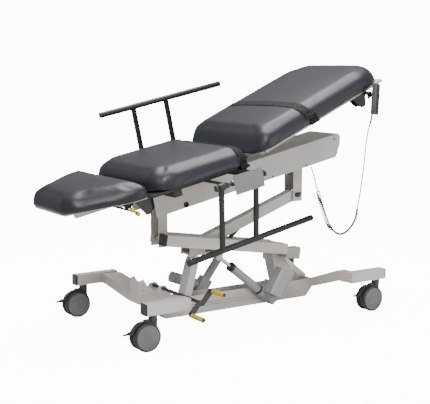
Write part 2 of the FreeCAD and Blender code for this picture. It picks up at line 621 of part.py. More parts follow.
def seat_pad():
    outline = [("seat_foot", "-pad_half"), ("seat_head", "-pad_half"), ("seat_head", "pad_half"),
               ("seat_foot", "pad_half")]
    return node(cushion(TABLE, outline, "seat_pad", 42, lambda edge: True, 32), "seat_pad")


def foot_pad():
    outline = [("foot_end", "-foot_end_half"), ("foot_head - 70", "-pad_half"), ("foot_head", "-pad_half"),
               ("foot_head", "pad_half"), ("foot_head - 70", "pad_half"), ("foot_end", "foot_end_half")]
    return node(cushion(TABLE, outline, "foot_pad", 30, lambda edge: edge.BoundBox.XMin < D.foot_end + 1, 26),
                "foot_pad")


def back_pad():
    """Cushion whose lower end is bevelled so that it clears the seat as it rises."""
    low, high = D.pad_rise, D.pad_rise + D.back_pad
    outline = [(-60, low), (-43.5, 43.5), (28, high), ("back_length", high), ("back_length", low)]
    body = prism(BACK, "XZ_Plane", outline, "2 * pad_half")
    soften(body, 85, lambda edge: runs_along(Z_AXIS)(edge) and edge.BoundBox.XMin > D.back_length - 1)
    soften(body, 28, lambda edge: lies_at(high)(edge) and edge.BoundBox.XMax > 30)
    return node(body, "back_pad")


def back_frame():
    """Board, two rails, hinge knuckles and the twin lever that the ram pushes."""
    rise = D.pad_rise - D.board
    pieces = [block(BACK, 14, -300, rise, 766, 600, "board"), block(BACK, -9, -15, 3, 40, 30, 11)]
    pieces += [block(BACK, 40, y, rise - 30, 730, 30, 30) for y in (-215, 185)]
    lever = spot(BACK, 0, 0, 0, Y_AXIS, LEVER_LEAN)
    slot = [(-7.5, -112), (-7.5, -81), (7.5, -81), (7.5, -112)]
    pieces += [prism(spot(lever, 0, y, 0), "XZ_Plane", [(-12, 7), (12, 14), (15, -122), (-15, -122)], 6,
                     [(slot, (), 6)]) for y in (-12, 12)]
    pieces += [fuse(rod(BACK, 0, y, 0, "Y", 11, 12), block(BACK, 0, y, 2, 20, 12, 8)) for y in (-100, 88)]
    bores = [rod(BACK, 0, y, 0, "Y", "6 + running", 16) for y in (-102, 86)]
    return node(cut(fuse(*pieces), *bores), "back_frame")


def foot_frame():
    """Tapered board on two tubes, with lugs on the foot hinge pin and a block for the release lever."""
    top, (x, z) = D.deck_height, FOOT_HINGE
    outline = [(-985, -155), (-716, -290), (-656, -290), (-656, 290), (-716, 290), (-985, 155)]
    board = doc.addObject("PartDesign::Body", "Body")
    pad = board.newObject("PartDesign::Pad", "Pad")
    pad.Profile = sketch(board, "XY_Plane", outline)
    bind(pad, Length=8)
    board.Placement = spot(TABLE, 0, 0, top - 8)
    pieces = [block(TABLE, -930, y, top - 33, 274, 25, 25) for y in (-150, 125)]
    pieces += [fuse(rod(TABLE, x, y, z, "Y", 9, 10), block(TABLE, x - 24, y, z - 8, 22, 10, top - z + 2))
               for y in (-88, 78)]
    pieces.append(block(TABLE, LATCH[0] + 7, -176, LATCH[1] - 10, 28, 26, top - LATCH[1] + 6))
    bores = [rod(TABLE, x, y, z, "Y", 5.05, 14) for y in (-90, 76)]
    bores.append(rod(TABLE, LATCH[0], LATCH_Y, LATCH[1], "X", 4.05, 50))
    return node(cut(fuse(board, *pieces), *bores), "foot_frame")


def release_lever():
    """Lever under the foot section: lifting its sleeved grip frees the hinge."""
    x, z = LATCH
    grip = spot(TABLE, x - 16, -345, z + 16, Y_AXIS, 45)
    node(fuse(rod(TABLE, x - 7, LATCH_Y, z, "X", 4, 45), rod(TABLE, x, -343, z, "Y", 4.5, 350 + LATCH_Y),
              rod(grip, 0, 0, 0, "X", 5, 46)), "release_lever")
    node(group(sleeve(grip, -1, 0, 0, "X", 10, 5.02, 16), sleeve(grip, 30, 0, 0, "X", 10, 5.02, 17)),
         "release_grip")


# ---------------------------------------------------------------- side rails

def rail_axis(side, turn):
    """Frame on a rail's axle; +Z runs from the bar to the axle, `turn` degrees from hanging."""
    return spot(TABLE, side * D.rail_shift, side * D.rail_axle_y, D.rail_axle_z, X_AXIS, side * turn)


def side_rail(name, side, turn):
    """Bar on two posts, with a plate that folds round the axle with it."""
    frame, reach = rail_axis(side, turn - D.rail_tuck), D.rail_reach
    pieces = [rod(frame, D.rail_foot, 0, -reach, "X", "rail_radius", D.rail_head - D.rail_foot)]
    for x in (D.post_foot, D.post_head):
        pieces.append(rod(frame, x, 0, -reach, "Z", "rail_post_radius", reach))
        pieces.append(rod(frame, x - 16, 0, 0, "X", 17, 32))
    node(cut(fuse(*pieces), rod(frame, D.post_foot - 30, 0, 0, "X", "8 + running", 260)), f"{name}_rail")

    frame = rail_axis(side, turn)
    plate = block(frame, D.post_foot + 56, side * 21.5 - 1.5, -51, 156, 3, 88)
    web = block(frame, D.post_foot + 56, side * 15 - 6, -4, 112, 12, 8)
    tube = rod(frame, D.post_foot + 56, 0, 0, "X", 13, 112)
    bore = rod(frame, D.post_foot + 50, 0, 0, "X", "8 + running", 130)
    node(cut(fuse(plate, web, tube), bore), f"{name}_rail_plate")


def rail_mounts():
    """Arms out from the lid of the box that hold each rail's axle between its posts."""
    lid = D.box_height / 2
    parts = []
    for side in (-1, 1):
        frame = rail_axis(side, 0)
        low = -12 if side < 0 else D.box_half - 20 - D.rail_axle_y
        pieces = [rod(frame, D.post_foot - 29, 0, 0, "X", 8, 265),
                  rod(frame, D.post_foot - 29, 0, 0, "X", 15, 8), rod(frame, D.post_head + 40, 0, 0, "X", 15, 8)]
        for x in (D.post_foot + 26, D.post_head + 26):
            pieces.append(block(frame, x, low, lid - D.rail_axle_z, 10, D.rail_axle_y - D.box_half + 32, 10))
            pieces.append(block(frame, x, -12, -10, 10, 24, 22))
        parts.append(fuse(*pieces))
    return node(group(*parts), "rail_mounts")


# ---------------------------------------------------------------- handset and head-end fittings

def handset():
    """Hand control hung at the near edge of the backrest."""
    wide, deep, tall = D.handset_width / 2, D.handset_depth / 2, D.handset_height / 2
    case = prism(HANDSET, "YZ_Plane", [(-deep, -tall), (deep, -tall), (deep, tall), (-deep, tall)],
                 "handset_width")
    soften(case, 6, runs_along(Z_AXIS))
    recess = block(HANDSET, -wide + 7, -deep - 1, -tall + 14, "handset_width - 14", 4, "handset_height - 28")
    node(cut(case, recess), "handset_case")
    keys = [block(HANDSET, column * 10 - 8, -deep - 1.5, tall - 42 - row * 28, 16, 3, 16)
            for row in range(4) for column in (-1, 1)]
    return node(group(*keys), "handset_keys")


def head_brackets():
    """Hook for the hand control, and a wedge bracket with a light roller, under the backrest board."""
    rise = D.pad_rise - D.board
    hook = fuse(block(BACK, 634, -336, rise - 4, 30, 66, 4), block(BACK, 634, -336, rise - 24, 30, 4, 24))
    wedge = prism(spot(BACK, 0, -150, 0), "XZ_Plane", [(640, 2), (770, 2), (770, -20), (735, -112), (708, -112)],
                  50, [([(600, -130), (600, -8), (718, -8), (718, -130)], (), 42)])
    return node(group(hook, wedge, rod(BACK, 703, -171, -60, "Y", 12, 42)), "head_brackets")


def handset_cord():
    """Cord that hangs in a bight from the hand control to the underside of the box."""
    curve = Part.BSplineCurve()
    curve.interpolate([Vector(*point) for point in CORD_PATH])
    path = Part.Wire([curve.toShape()])
    start = curve.value(curve.FirstParameter)
    circle = Part.Wire([Part.Circle(start, curve.tangent(curve.FirstParameter)[0], 3.5).toShape()])
    item = doc.addObject("Part::Feature", "Cord")
    item.Shape = Part.Solid(path.makePipeShell([circle], True, True).Shells[0])
    item.Placement = FLOOR
    return node(item, "handset_cord")


def centre_on_floor():
    """Move the whole couch so that the origin is on the floor under the middle of its outline."""
    boxes = [item.Shape.optimalBoundingBox(False, False) for item in NODES]
    middle_x = (min(box.XMin for box in boxes) + max(box.XMax for box in boxes)) / 2
    middle_y = (min(box.YMin for box in boxes) + max(box.YMax for box in boxes)) / 2
    for item in NODES:
        item.Placement = Placement(Vector(-middle_x, -middle_y, 0), Rotation()) * item.Placement
    print(f"origin moved to ({middle_x:.4f}, {middle_y:.4f})")


# ---------------------------------------------------------------- build, check and write

base_spine()
foot_crossbar()
head_crossbar()
stub_tubes()
stub_caps()
base_pins()
brake_pedal()
for name, (side_x, side_y) in CORNERS.items():
    caster(name, side_x * D.stem_x, side_y * D.stem_y)
lift_legs()
lift_actuators()
middle_frame()
control_box()
tilt_strut(prop_arm())
frame_box()
frame_fittings()
frame_posts()
seat_deck()
foot_bracket()
back_ram()
seat_pad()
foot_pad()
back_pad()
back_frame()
foot_frame()
release_lever()
side_rail("near", -1, 0)
side_rail("far", 1, 195.4)
rail_mounts()
handset()
head_brackets()
handset_cord()
doc.recompute()
centre_on_floor()
doc.recompute()

faults = [item.Label for item in doc.Objects if {"Invalid", "Error"} & set(item.State)]
faults += [item.Label for item in NODES if item.Shape.isNull() or not item.Shape.isValid()]
if faults:
    raise RuntimeError(f"these objects failed: {faults}")
os.makedirs("parts", exist_ok=True)
for item in NODES:
    item.Shape.exportStep(f"parts/{item.Label}.step")
print(f"{len(NODES)} sub-parts written")
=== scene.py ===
"""Examination couch: upholstery, straps, casters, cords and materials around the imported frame."""
import json
import math

import bmesh
import bpy
from mathutils import Matrix, Vector
from mathutils.bvhtree import BVHTree


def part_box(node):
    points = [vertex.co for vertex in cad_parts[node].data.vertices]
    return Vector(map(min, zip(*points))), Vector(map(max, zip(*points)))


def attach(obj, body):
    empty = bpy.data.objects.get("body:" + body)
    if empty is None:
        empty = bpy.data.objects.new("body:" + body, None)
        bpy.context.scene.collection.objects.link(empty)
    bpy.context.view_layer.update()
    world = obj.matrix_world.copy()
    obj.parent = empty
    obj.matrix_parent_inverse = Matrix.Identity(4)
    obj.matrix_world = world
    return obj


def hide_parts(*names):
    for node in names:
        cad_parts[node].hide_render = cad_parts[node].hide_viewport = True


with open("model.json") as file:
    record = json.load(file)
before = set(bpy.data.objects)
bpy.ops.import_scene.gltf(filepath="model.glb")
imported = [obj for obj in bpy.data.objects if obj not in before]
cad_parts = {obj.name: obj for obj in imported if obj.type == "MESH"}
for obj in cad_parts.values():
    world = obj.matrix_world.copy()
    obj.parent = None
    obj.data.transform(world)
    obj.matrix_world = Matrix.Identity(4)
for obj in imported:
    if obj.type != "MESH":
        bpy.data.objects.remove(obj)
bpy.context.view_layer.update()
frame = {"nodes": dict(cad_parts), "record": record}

MM = 0.001
JOINTS = {joint["name"]: joint for joint in frame["record"]["behaviour"]["joints"]}
Y_AXIS = Vector((0, 1, 0))


# ---------------------------------------------------------------- places

def joint_at(name):
    return Vector(JOINTS[name]["pos_m"])


def middle_of(node):
    low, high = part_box(node)
    return (low + high) / 2


def placed(origin, along, across=Y_AXIS):
    """Matrix whose X runs `along`, whose Y runs `across`, and whose local unit is the millimetre."""
    x = Vector(along).normalized()
    y = Vector(across).normalized()
    z = x.cross(y)
    turn = Matrix((x, y, z)).transposed().to_4x4()
    return Matrix.Translation(origin) @ turn @ Matrix.Scale(MM, 4)


# Frames of the floor, the sloping table and the raised back. Points in them are in millimetres.
FLOOR_MIDDLE = middle_of("stub_caps")
FLOOR_MIDDLE.z = 0
FLOOR = placed(FLOOR_MIDDLE, (1, 0, 0))
TABLE_X = Vector(JOINTS["far_rail_fold"]["axis"])
TABLE_Z = TABLE_X.cross(Y_AXIS)
FOOT_HINGE = (-640, 84)
TABLE = placed(joint_at("foot_section") - (TABLE_X * FOOT_HINGE[0] + TABLE_Z * FOOT_HINGE[1]) * MM, TABLE_X)
BACK_SLOPE = math.radians(24.5)
BACK = placed(joint_at("backrest"), (math.cos(BACK_SLOPE), 0, math.sin(BACK_SLOPE)))


# ---------------------------------------------------------------- materials

class Nodes:
    """Short way to build a node material."""

    def __init__(self, name):
        self.material = bpy.data.materials.new(name)
        self.material.use_nodes = True
        self.tree = self.material.node_tree
        self.shader = self.tree.nodes["Principled BSDF"]
        self.place = self.tree.nodes.new("ShaderNodeTexCoord").outputs["Object"]

    def node(self, kind, **inputs):
        item = self.tree.nodes.new(kind)
        for key, value in inputs.items():
            self.feed(item.inputs[key.replace("_", " ")], value)
        return item

    def feed(self, socket, value):
        if isinstance(value, bpy.types.NodeSocket):
            self.tree.links.new(value, socket)
        else:
            socket.default_value = value

    def noise(self, scale, detail=3.0, place=None):
        made = self.node("ShaderNodeTexNoise", Vector=place or self.place, Scale=scale, Detail=detail)
        return made.outputs["Fac"]

    def ramp(self, value, low, high, start=0.35, end=0.65):
        item = self.node("ShaderNodeMapRange", Value=value)
        for key, number in (("From Min", start), ("From Max", end), ("To Min", low), ("To Max", high)):
            item.inputs[key].default_value = number
        return item.outputs["Result"]

    def math(self, operation, first, second):
        item = self.tree.nodes.new("ShaderNodeMath")
        item.operation = operation
        self.feed(item.inputs[0], first)
        self.feed(item.inputs[1], second)
        return item.outputs[0]

    def mix(self, share, first, second):
        item = self.tree.nodes.new("ShaderNodeMix")
        item.data_type = "RGBA"
        self.feed(item.inputs[0], share)
        self.feed(item.inputs[6], first)
        self.feed(item.inputs[7], second)
        return item.outputs[2]

    def bump(self, height, depth_mm, below=None):
        item = self.node("ShaderNodeBump", Height=height, Distance=depth_mm * MM)
        if below is not None:
            self.feed(item.inputs["Normal"], below)
        return item.outputs["Normal"]

    def edges(self, radius_mm):
        """1 on sharp edges of the shape, 0 on its faces."""
        rounded = self.node("ShaderNodeBevel", Radius=radius_mm * MM)
        rounded.samples = 3
        plain = self.tree.nodes.new("ShaderNodeNewGeometry").outputs["Normal"]
        dot = self.tree.nodes.new("ShaderNodeVectorMath")
        dot.operation = "DOT_PRODUCT"
        self.feed(dot.inputs[0], rounded.outputs["Normal"])
        self.feed(dot.inputs[1], plain)
        return self.ramp(dot.outputs["Value"], 1.0, 0.0, 0.86, 0.99)

    def finish(self, color, roughness, normal=None, **more):
        self.feed(self.shader.inputs["Base Color"], color)
        self.feed(self.shader.inputs["Roughness"], roughness)
        if normal is not None:
            self.feed(self.shader.inputs["Normal"], normal)
        for key, value in more.items():
            self.feed(self.shader.inputs[key.replace("_", " ")], value)
        return self.material


def shade(color, factor):
    return (*[min(1.0, channel * factor) for channel in color], 1.0)


def painted(name, color, roughness=0.42, grain=420, worn=1.12):
    """Powder coat: orange peel, faint mottling and edges rubbed a little lighter."""
    made = Nodes(name)
    tone = made.mix(made.ramp(made.noise(9, 4), 0.0, 1.0), shade(color, 0.94), shade(color, 1.03))
    tone = made.mix(made.math("MULTIPLY", made.edges(1.6), 0.6), tone, shade(color, worn))
    peel = made.bump(made.noise(grain, 2), 0.05)
    gloss = made.ramp(made.noise(26, 5), roughness - 0.05, roughness + 0.08)
    return made.finish(tone, gloss, peel, Specular_IOR_Level=0.45)


def plastic(name, color, roughness=0.5, grain=1500, depth=0.05):
    """Moulded plastic with a fine spark texture and a slightly dusty tone."""
    made = Nodes(name)
    tone = made.mix(made.ramp(made.noise(14, 5), 0.0, 1.0), shade(color, 0.9), shade(color, 1.12))
    tone = made.mix(made.math("MULTIPLY", made.edges(1.0), 0.35), tone, shade(color, 1.6))
    gloss = made.ramp(made.noise(40, 4), roughness - 0.06, roughness + 0.1)
    return made.finish(tone, gloss, made.bump(made.noise(grain, 3), depth))


def steel(name, color, roughness, stretch, spangle=0.0):
    """Bare or plated metal: brushed along one axis, or with zinc spangles."""
    made = Nodes(name)
    lengthened = made.node("ShaderNodeMapping", Vector=made.place, Scale=stretch).outputs["Vector"]
    brushed = made.noise(1, 2, lengthened)
    tone = made.mix(made.ramp(brushed, 0.0, 1.0), shade(color, 0.86), shade(color, 1.08))
    if spangle:
        cells = made.node("ShaderNodeTexVoronoi", Vector=made.place, Scale=spangle).outputs["Color"]
        grey = made.node("ShaderNodeRGBToBW", Color=cells).outputs["Val"]
        tone = made.mix(made.ramp(grey, 0.0, 0.5, 0.1, 0.9), tone, shade(color, 0.8))
    gloss = made.ramp(brushed, roughness - 0.06, roughness + 0.08)
    return made.finish(tone, gloss, made.bump(brushed, 0.02), Metallic=1.0)


def leatherette(name, color):
    """Upholstery vinyl: pebble grain and fine creases with a satin shine, and painted shade in the grain's
    hollows.
    """
    made = Nodes(name)
    cells = made.node("ShaderNodeTexVoronoi", Vector=made.place, Scale=620.0)
    cells.feature = "SMOOTH_F1"
    pebble = cells.outputs["Distance"]
    creases = made.noise(210, 6)
    normal = made.bump(creases, 0.10)
    normal = made.bump(pebble, 0.10, normal)
    tone = made.mix(made.ramp(made.noise(4, 3), 0.0, 1.0, 0.2, 0.8), shade(color, 0.94), shade(color, 1.06))
    # Painted shade: the hollows of the pebble grain are darkened.
    tone = made.mix(made.ramp(pebble, 0.25, 0.0, 0.0, 0.9), tone, shade(color, 0.65))
    gloss = made.ramp(made.noise(30, 5), 0.38, 0.45, 0.2, 0.8)
    return made.finish(tone, gloss, normal, Specular_IOR_Level=0.36)


def webbing(name, color, ribs):
    """Woven strap: ribs along the strap, crossed by the weft, with painted highlight on the threads' tops and
    painted shade between them.
    """
    made = Nodes(name)
    warp = made.node("ShaderNodeTexWave", Vector=made.place, Scale=ribs)
    weft = made.node("ShaderNodeTexWave", Vector=made.place, Scale=ribs * 0.8)
    weft.bands_direction = "Y"
    weave = made.math("MULTIPLY", warp.outputs["Fac"], weft.outputs["Fac"])
    # Painted light: the weave's raised threads are coloured lighter and the gaps between them darker,
    # following the bump.
    tone = made.mix(made.ramp(weave, 0.0, 0.7, 0.0, 1.0), shade(color, 0.6), shade(color, 1.5))
    tone = made.mix(made.ramp(made.noise(35, 4), 0.0, 0.4), tone, shade(color, 1.4))
    return made.finish(tone, made.ramp(made.noise(60, 3), 0.55, 0.7), made.bump(weave, 0.35),
                       Specular_IOR_Level=0.22)


def rubber(name, color, roughness=0.62):
    made = Nodes(name)
    tone = made.mix(made.ramp(made.noise(30, 5), 0.0, 1.0), shade(color, 0.85), shade(color, 1.2))
    return made.finish(tone, made.ramp(made.noise(90, 4), roughness - 0.08, roughness + 0.1),
                       made.bump(made.noise(700, 4), 0.06))


LONG = (30.0, 900.0, 900.0)
ROUND = (900.0, 40.0, 900.0)
PAINT = painted("warm_grey_paint", (0.50, 0.475, 0.44))
ACTUATOR = painted("actuator_paint", (0.30, 0.293, 0.28), 0.36, 300)
RAIL = painted("rail_black", (0.007, 0.007, 0.0075), 0.4, 500, 2.2)
DARK_STEEL = painted("dark_steel", (0.025, 0.025, 0.027), 0.4, 500, 2.0)
SILVER = painted("silver_paint", (0.42, 0.42, 0.42), 0.38)
BOARD = painted("black_board", (0.010, 0.010, 0.010), 0.6, 160, 1.5)
BLACK = plastic("black_plastic", (0.007, 0.007, 0.0075), 0.45)
YELLOW = plastic("yellow_grip", (0.50, 0.33, 0.015), 0.42, 500)
BEIGE = plastic("beige_plastic", (0.43, 0.40, 0.35), 0.5)
HANDSET_GREY = plastic("handset_grey", (0.04, 0.041, 0.045), 0.42)
KEY_GREY = rubber("key_grey", (0.02, 0.021, 0.023), 0.5)
CORD_GREY = rubber("cord_grey", (0.075, 0.07, 0.062), 0.5)
CASTER_GREY = plastic("caster_grey", (0.028, 0.029, 0.031), 0.42)
DISC_GREY = plastic("disc_grey", (0.115, 0.117, 0.123), 0.5, 700, 0.12)
TYRE = rubber("tyre_grey", (0.018, 0.0185, 0.02))
BRIGHT = steel("bright_steel", (0.62, 0.62, 0.63), 0.24, ROUND)
ZINC = steel("zinc_plate", (0.18, 0.18, 0.18), 0.4, LONG, 70.0)
VINYL = leatherette("slate_leatherette", (0.0145, 0.0152, 0.0195))
STRAP = webbing("strap_webbing", (0.005, 0.005, 0.0055), 260.0)

FINISHES = {
    "frame_paint": PAINT, "actuator_paint": ACTUATOR, "black_plastic": BLACK, "bright_steel": BRIGHT,
    "dark_steel": DARK_STEEL, "yellow_grip": YELLOW, "rail_paint": RAIL, "galvanised": ZINC,
    "upholstery": VINYL, "black_board": BOARD, "silver_paint": SILVER, "beige_plastic": BEIGE,
    "handset_plastic": HANDSET_GREY, "key_rubber": KEY_GREY, "cord_rubber": CORD_GREY,
    "caster_plastic": CASTER_GREY, "caster_tyre": TYRE,
}
# How far the edges of the CAD pieces are rounded, in millimetres, where it isn't the usual amount.
EDGE = {"near_actuator": 3.5, "far_actuator": 2.5, "control_box": 1.4, "handset_case": 2.2,
        "handset_keys": 0.8, "stub_caps": 2.2, "frame_box": 1.5, "foot_crossbar": 1.6, "head_crossbar": 1.6,
        "base_spine": 1.6, "stub_tubes": 1.8, "middle_tubes": 1.8, "near_rail": 2.2, "far_rail": 2.2,
        "pedal_grips": 2.0, "release_grip": 2.0, "handset_cord": 0.0}
USUAL_EDGE = 0.9
SHARP_EDGE = math.radians(38)
WELD_GAP = 0.02


def dress_cad():
    """Finish and softened edges for every piece that comes from the frame."""
    for part in frame["record"]["subparts"]:
        item = frame["nodes"][part["node"]]
        item.data.materials.clear()
        item.data.materials.append(FINISHES[part["material_slot"]])
        width = EDGE.get(part["node"], USUAL_EDGE)
        if width:
            weld = item.modifiers.new("Weld", "WELD")
            weld.merge_threshold = WELD_GAP * MM
            edge = item.modifiers.new("Edge", "BEVEL")
            edge.width = width * MM
            edge.segments = 2
            edge.limit_method = "ANGLE"
            edge.angle_limit = SHARP_EDGE
            edge.use_clamp_overlap = True


# ---------------------------------------------------------------- mesh helpers

def piece(name, vertices, faces, material, body, matrix=Matrix()):
    """A mesh piece from points in the matrix's own units, riding on a body."""
    mesh = bpy.data.meshes.new(name)
    mesh.from_pydata([matrix @ Vector(point) for point in vertices], [], faces)
    mesh.materials.append(material)
    shape = bmesh.new()
    shape.from_mesh(mesh)
    bmesh.ops.recalc_face_normals(shape, faces=shape.faces)
    shape.to_mesh(mesh)
    shape.free()
    mesh.shade_smooth()
    item = bpy.data.objects.new(name, mesh)
    bpy.context.scene.collection.objects.link(item)
    if body:
        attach(item, body)
    return item


def rings_to_faces(rings, count, closed=True, capped=True):
    """Quads between rings of `count` points each, with the two ends filled."""
    faces = []
    for ring in range(rings - 1):
        for k in range(count if closed else count - 1):
            after = (k + 1) % count
            faces.append((ring * count + k, ring * count + after, (ring + 1) * count + after,
                          (ring + 1) * count + k))
    if capped:
        faces.append(tuple(range(count - 1, -1, -1)))
        faces.append(tuple((rings - 1) * count + k for k in range(count)))
    return faces


TURNED_CREASE = 34


def lathe(name, profile, material, body, matrix, steps=56):
    """A turned piece: (radius, distance along Y) pairs swept round the matrix's Y."""
    points = []
    for radius, along in profile:
        for k in range(steps):
            turn = 2 * math.pi * k / steps
            points.append((radius * math.cos(turn), along, radius * math.sin(turn)))
    item = piece(name, points, rings_to_faces(len(profile), steps), material, body, matrix)
    item.data.set_sharp_from_angle(angle=math.radians(TURNED_CREASE))
    return item


def thicken(item, thickness):
    """Give a sheet its thickness in millimetres, half of it on each side."""
    sheet = item.modifiers.new("Thickness", "SOLIDIFY")
    sheet.thickness = thickness * MM
    sheet.offset = 0


def cord(name, points, radius, material, body, matrix=Matrix(), smooth=True):
    """A round cord through points given in the matrix's own units; the radius is in millimetres."""
    curve = bpy.data.curves.new(name, "CURVE")
    curve.dimensions = "3D"
    curve.bevel_depth = radius * MM
    curve.bevel_resolution = 3
    curve.use_fill_caps = True
    curve.resolution_u = 6 if smooth else 1
    line = curve.splines.new("NURBS" if smooth else "POLY")
    line.points.add(len(points) - 1)
    for target, point in zip(line.points, points):
        target.co = (*(matrix @ Vector(point)), 1.0)
    if smooth:
        line.order_u = 3
        line.use_endpoint_u = True
    curve.materials.append(material)
    item = bpy.data.objects.new(name, curve)
    bpy.context.scene.collection.objects.link(item)
    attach(item, body)
    return item


# ---------------------------------------------------------------- upholstery

def rounded_outline(corners, radii, steps=10, side_steps=12):
    """Points and outward normals round a convex outline (anticlockwise) whose corners are rounded."""
    result = []
    count = len(corners)
    for k in range(count):
        here, before, after = (Vector(corners[k]), Vector(corners[k - 1]), Vector(corners[(k + 1) % count]))
        come, go = (here - before).normalized(), (after - here).normalized()
        first, last = Vector((come.y, -come.x)), Vector((go.y, -go.x))
        turn = math.acos(max(-1, min(1, first.dot(last))))
        centre = here - (first + last).normalized() * radii[k] / math.cos(turn / 2)
        for step in range(steps + 1):
            share = step / steps
            normal = (first * math.sin((1 - share) * turn) + last * math.sin(share * turn)) / math.sin(turn)
            result.append((centre + normal * radii[k], normal))
        side = (after - here).length
        for step in range(1, side_steps):
            share = step / side_steps
            start = centre + last * radii[k]
            following = Vector(corners[(k + 2) % count])
            onward = (following - after).normalized()
            bend = math.acos(max(-1, min(1, last.dot(Vector((onward.y, -onward.x))))))
            reach = side - radii[k] * math.tan(turn / 2) - radii[(k + 1) % count] * math.tan(bend / 2)
            result.append((start + go * reach * share, last))
    return result


def cushion_rings(outline, thickness, edge, crown, waist, centre):
    """Rings from the flat underside, up the pulled-in sides, over the soft top edge, to the crown."""
    rings = []
    under = 9
    bend = 2.6
    for inset, height in ((60, 0), (25, 0), (under, 0), (bend, bend), (0, under)):
        rings.append([(*(point - normal * inset), height) for point, normal in outline])
    for share in (0.33, 0.66):
        pull = waist * math.sin(math.pi * share)
        height = under + (thickness - edge - under) * share
        rings.append([(*(point - normal * pull), height) for point, normal in outline])
    edge_steps = 8
    for step in range(edge_steps + 1):
        turn = math.pi / 2 * step / edge_steps
        inset, height = edge * (1 - math.cos(turn)), thickness - edge * (1 - math.sin(turn))
        rings.append([(*(point - normal * inset), height) for point, normal in outline])
    middle = Vector(centre)
    for share in (0.93, 0.84, 0.72, 0.58, 0.44, 0.3, 0.16, 0.05):
        height = thickness + crown * (1 - share ** 2.2)
        rings.append([(*(middle + (point - normal * edge - middle) * share), height)
                      for point, normal in outline])
    return rings


# Cloth simulation of the pads; lengths are in millimetres.
VOXEL = 6.5
PRESSURE = 3
LAST_FRAME = 20
SWELL_CAP = 9
HELD_BELOW = 10


def swell(item, base):
    """Inflate a closed cushion as cloth; its underside stays put and no point moves beyond the cap."""
    bpy.context.view_layer.objects.active = item
    item.data.remesh_voxel_size = VOXEL * MM
    item.data.remesh_voxel_adaptivity = 0
    with bpy.context.temp_override(active_object=item, object=item, selected_objects=[item]):
        bpy.ops.object.voxel_remesh()
    relax = item.modifiers.new("Relax", "SMOOTH")
    relax.factor, relax.iterations = 0.5, 6
    bake(item)
    inverse = base.inverted()
    start = [vertex.co.copy() for vertex in item.data.vertices]
    held = item.vertex_groups.new(name="held")
    held.add([k for k, point in enumerate(start) if (inverse @ point).z < HELD_BELOW], 1.0, "REPLACE")
    cloth = item.modifiers.new("Cloth", "CLOTH")
    cloth.settings.use_pressure = True
    cloth.settings.uniform_pressure_force = PRESSURE
    cloth.settings.vertex_group_mass = "held"
    cloth.settings.effector_weights.gravity = 0
    cloth.point_cache.frame_start, cloth.point_cache.frame_end = 1, LAST_FRAME
    scene = bpy.context.scene
    for number in range(1, LAST_FRAME + 1):
        scene.frame_set(number)
    result = item.evaluated_get(bpy.context.evaluated_depsgraph_get()).to_mesh()
    moved = [vertex.co.copy() for vertex in result.vertices]
    item.modifiers.remove(cloth)
    scene.frame_set(1)
    for vertex, before, after in zip(item.data.vertices, start, moved):
        step = after - before
        if step.length > SWELL_CAP * MM:
            step *= SWELL_CAP * MM / step.length
        vertex.co = before + step
    settle = item.modifiers.new("Settle", "SMOOTH")
    settle.factor, settle.iterations = 0.5, 24
    bake(item)


def bake(item):
    """Apply every modifier of a mesh object."""
    bpy.context.view_layer.update()
    result = item.evaluated_get(bpy.context.evaluated_depsgraph_get())
    item.data = bpy.data.meshes.new_from_object(result)
    item.modifiers.clear()


def cushion(name, node, body, base, corners, radii, thickness, edge, crown, waist=2.5, shape=None):
    """An upholstered cushion that stands for a CAD pad."""
    outline = rounded_outline(corners, radii)
    centre = sum((point for point, _ in outline), Vector((0, 0))) / len(outline)
    rings = cushion_rings(outline, thickness, edge, crown, waist, centre)
    points = [point for ring in rings for point in ring]
    if shape:
        points = [shape(*point) for point in points]
    item = piece(name, points, rings_to_faces(len(rings), len(outline)), VINYL, None, base)
    swell(item, base)
    smooth = item.modifiers.new("Smooth", "SUBSURF")
    smooth.levels = smooth.render_levels = 1
    bake(item)
    item.data.shade_smooth()
    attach(item, body)
    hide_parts(node)
    return item


# Half the width of the pads, and the height of the boards under them in the table's frame.
HALF = 326
DECK = 97


def seat_cushion():
    corners = ((-627, -HALF), (-105, -HALF), (-105, HALF), (-627, HALF))
    return cushion("seat_cushion", "seat_pad", "table", TABLE @ Matrix.Translation((0, 0, DECK)),
                   corners, (125, 84, 84, 125), thickness=84, edge=54, crown=11)


def foot_cushion():
    corners = ((-999, -182), (-740, -HALF), (-651, -HALF), (-651, HALF), (-740, HALF), (-999, 182))
    return cushion("foot_cushion", "foot_pad", "foot", TABLE @ Matrix.Translation((0, 0, DECK)),
                   corners, (100, 180, 34, 34, 180, 100), thickness=70, edge=46, crown=12, waist=2)


# How far the back pad's lower end leans back for each millimetre of height, and its board's height.
LOW_BEVEL = 0.62
BACK_DECK = 14


def back_cushion():
    """Its lower end leans back under the crown, so that it clears the seat as it rises."""
    low_end, lean_end, lean_from = -34, 60, 20
    corners = ((low_end, -HALF), (807, -HALF), (807, HALF), (low_end, HALF))

    def lean(x, y, z):
        share = max(0.0, min(1.0, (lean_end - x) / (lean_end - low_end)))
        return x + LOW_BEVEL * (z - lean_from) * share, y, z

    return cushion("back_cushion", "back_pad", "back", BACK @ Matrix.Translation((0, 0, BACK_DECK)),
                   corners, (96, 165, 165, 96), thickness=84, edge=54, crown=11, shape=lean)


# ---------------------------------------------------------------- straps

# Faces across a strap, its thickness in millimetres, and the rows at its near side that are doubled.
STRAP_COLUMNS = 6
STRAP_THICKNESS = 2.4
FOLDED_ROWS = slice(9, 21)


def sheet_piece(name, rows, body, base):
    """A strip of webbing through rows of points."""
    points = [point for row in rows for point in row]
    faces = rings_to_faces(len(rows), STRAP_COLUMNS + 1, closed=False, capped=False)
    thicken(piece(name, points, faces, STRAP, body, base), STRAP_THICKNESS)


